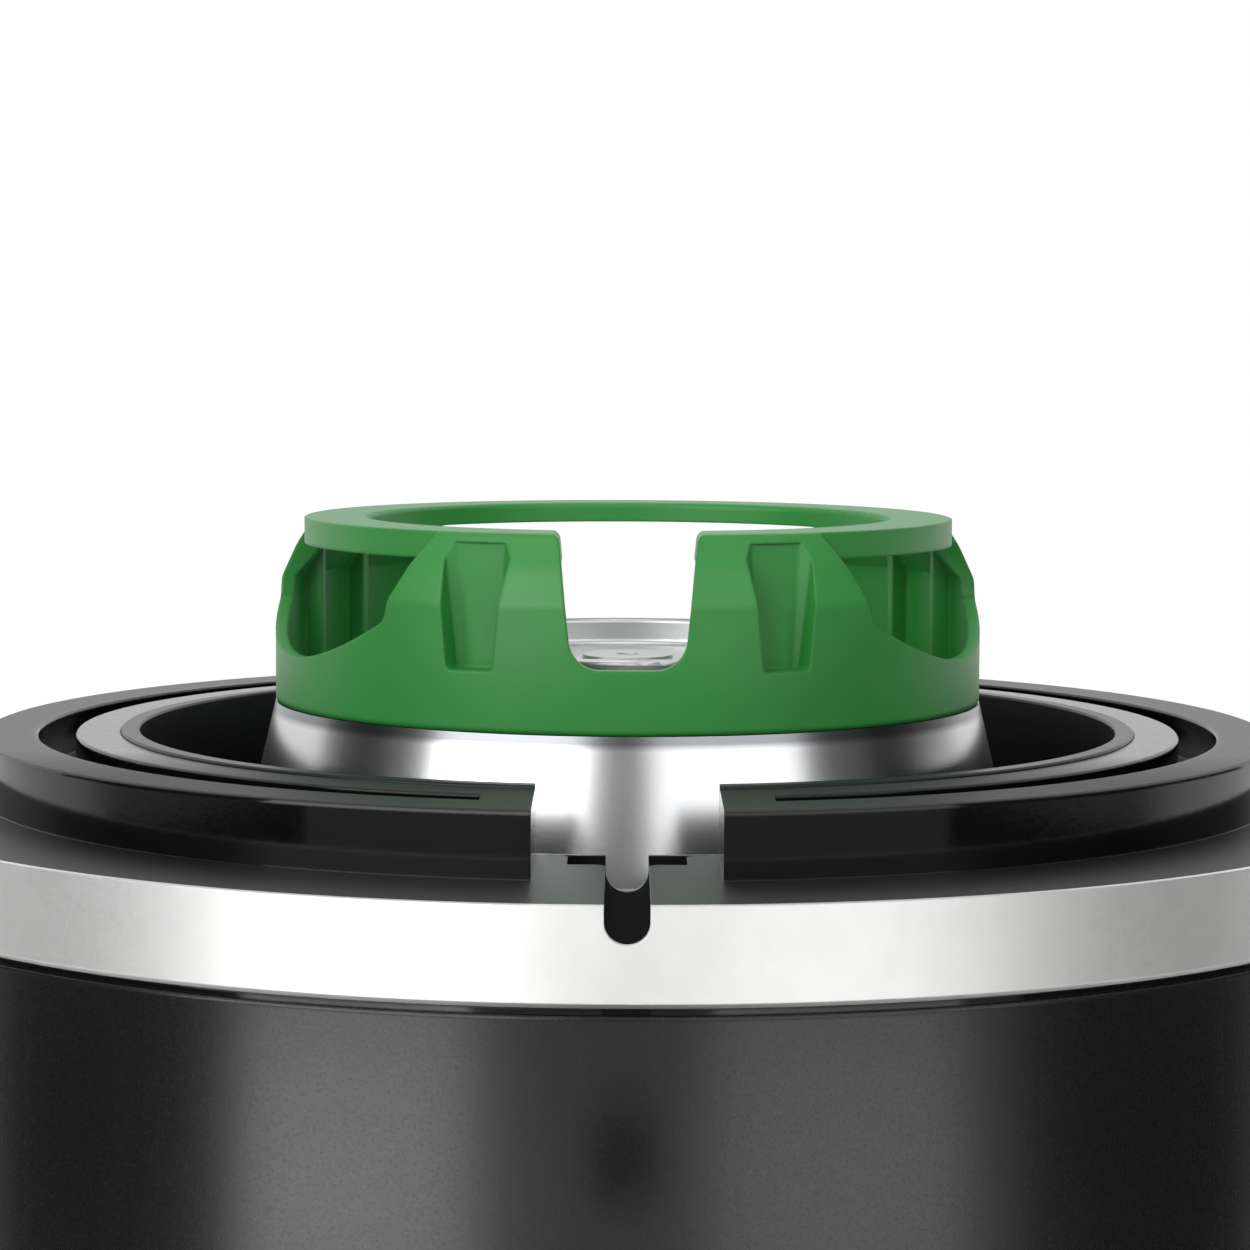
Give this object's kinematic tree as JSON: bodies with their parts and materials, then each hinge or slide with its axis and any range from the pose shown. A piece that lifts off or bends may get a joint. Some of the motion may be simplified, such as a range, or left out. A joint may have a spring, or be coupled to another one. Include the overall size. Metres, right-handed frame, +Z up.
{
  "type": "draft beer dispenser",
  "caption": "Countertop draft beer dispenser: round black cooled housing with a silver band, open keg well, lift-out metal keg with a green grip collar, front pinch tap and drip tray.",
  "frame": {"origin": "on the floor, below the axis of the keg chamber and in the middle of the footprint", "axes": "+Z up, -Y towards the front with the tap, +X to the right seen from the front"},
  "size_m": [0.32, 0.48, 0.4023],
  "materials": {
    "shell_black": "satin moulded black with a soft sheen",
    "deck_black": "polished black",
    "base_black": "fine-grained black",
    "band_silver": "satin, brushed around the ring",
    "liner_dark": "dark anodised",
    "foam_cream": "cut foam",
    "plain_aluminium": "as machined",
    "ceramic_white": "ceramic plates",
    "fan_black": "moulded",
    "screw_steel": "zinc plated",
    "board_green": "solder mask",
    "supply_grey": "folded sheet",
    "pin_brass": "bare",
    "lead_black": "smooth jacket",
    "hose_clear": "milky silicone",
    "motor_steel": "drawn can",
    "pump_grey": "moulded",
    "window_smoke": "smoked and clear",
    "button_silver": "metallised cap",
    "tap_black": "moulded",
    "chrome_bright": "plated",
    "foot_rubber": "soft",
    "grille_steel": "brushed sheet",
    "keg_metal": "bright, satin polished",
    "collar_green": "satin moulded green",
    "valve_grey": "moulded",
    "seal_black": "moulded seal",
    "spring_steel": "drawn wire"
  },
  "bodies": {
    "housing": {"base_plate": "base_black", "rubber_feet": "foot_rubber", "base_screws": "screw_steel", "chassis_deck": "base_black", "chassis_screws": "screw_steel", "outer_shell": "shell_black", "rear_cover": "base_black", "top_deck": "deck_black", "trim_band": "band_silver", "chamber_liner": "liner_dark", "insulation_foam": "foam_cream", "cold_block": "plain_aluminium", "peltier_module": "ceramic_white", "heat_sink": "plain_aluminium", "heat_sink_screws": "screw_steel", "fan_frame": "fan_black", "fan_screws": "screw_steel", "power_supply": "supply_grey", "control_board": "board_green", "power_inlet": "base_black", "inlet_pins": "pin_brass", "mains_lead": "lead_black", "temperature_sensor": "valve_grey", "air_pump_motor": "motor_steel", "air_pump_head": "pump_grey", "pump_bracket": "pump_grey", "air_hose": "hose_clear", "air_port": "valve_grey", "control_panel": "deck_black", "display_window": "window_smoke", "display_board": "board_green", "tap_body": "tap_black", "tap_screws": "screw_steel", "spout": "chrome_bright", "lever_pin": "screw_steel", "lever_spring": "spring_steel"},
    "keg": {"keg_body": "keg_metal", "keg_collar": "collar_green", "keg_valve": "valve_grey", "keg_spear": "hose_clear", "valve_spring": "spring_steel"},
    "poppet": {"valve_poppet": "seal_black"},
    "fan": {"fan_rotor": "fan_black"},
    "lever": {"tap_lever": "chrome_bright", "lever_grip": "tap_black", "drive_pin": "screw_steel"},
    "jaw": {"pinch_jaw": "valve_grey"},
    "tray": {"drip_tray": "base_black"},
    "grille": {"drip_grille": "grille_steel"},
    "power_key": {"power_button": "button_silver"},
    "cooling_key": {"cooling_button": "button_silver"}
  },
  "joints": [
    {"name": "keg_lift", "type": "slide", "parent": "housing", "child": "keg", "axis": [0, 0, 1], "range_m": [0, 0.26]},
    {"name": "poppet_press", "type": "slide", "parent": "keg", "child": "poppet", "axis": [0, 0, -1], "range_m": [0, 0.004], "stiffness_N_per_m": 800, "springref_m": -0.004, "deforming": ["valve_spring"]},
    {"name": "fan_spin", "type": "hinge", "parent": "housing", "child": "fan", "pos_m": [0, 0.2126, 0.2142], "axis": [0, 1, 0], "continuous": true},
    {"name": "lever_pull", "type": "hinge", "parent": "housing", "child": "lever", "pos_m": [0, -0.1976, 0.2123], "axis": [1, 0, 0], "range_deg": [0, 24], "stiffness_Nm_per_rad": 0.6, "springref_deg": -14.32},
    {"name": "jaw_slide", "type": "slide", "parent": "housing", "child": "jaw", "axis": [0, -1, 0], "range_m": [0, 0.00838]},
    {"name": "tray_pull", "type": "slide", "parent": "housing", "child": "tray", "axis": [0, -1, 0], "range_m": [0, 0.105]},
    {"name": "grille_lift", "type": "slide", "parent": "tray", "child": "grille", "axis": [0, 0, 1], "range_m": [0, 0.03]},
    {"name": "power_press", "type": "slide", "parent": "housing", "child": "power_key", "axis": [0, 1, 0], "range_m": [0, 0.0012], "stiffness_N_per_m": 900, "springref_m": -0.001},
    {"name": "cooling_press", "type": "slide", "parent": "housing", "child": "cooling_key", "axis": [0, 1, 0], "range_m": [0, 0.0012], "stiffness_N_per_m": 900, "springref_m": -0.001}
  ],
  "couplings": [
    {"joint": "jaw_slide", "follows": "lever_pull", "m_per_rad": 0.02}
  ]
}
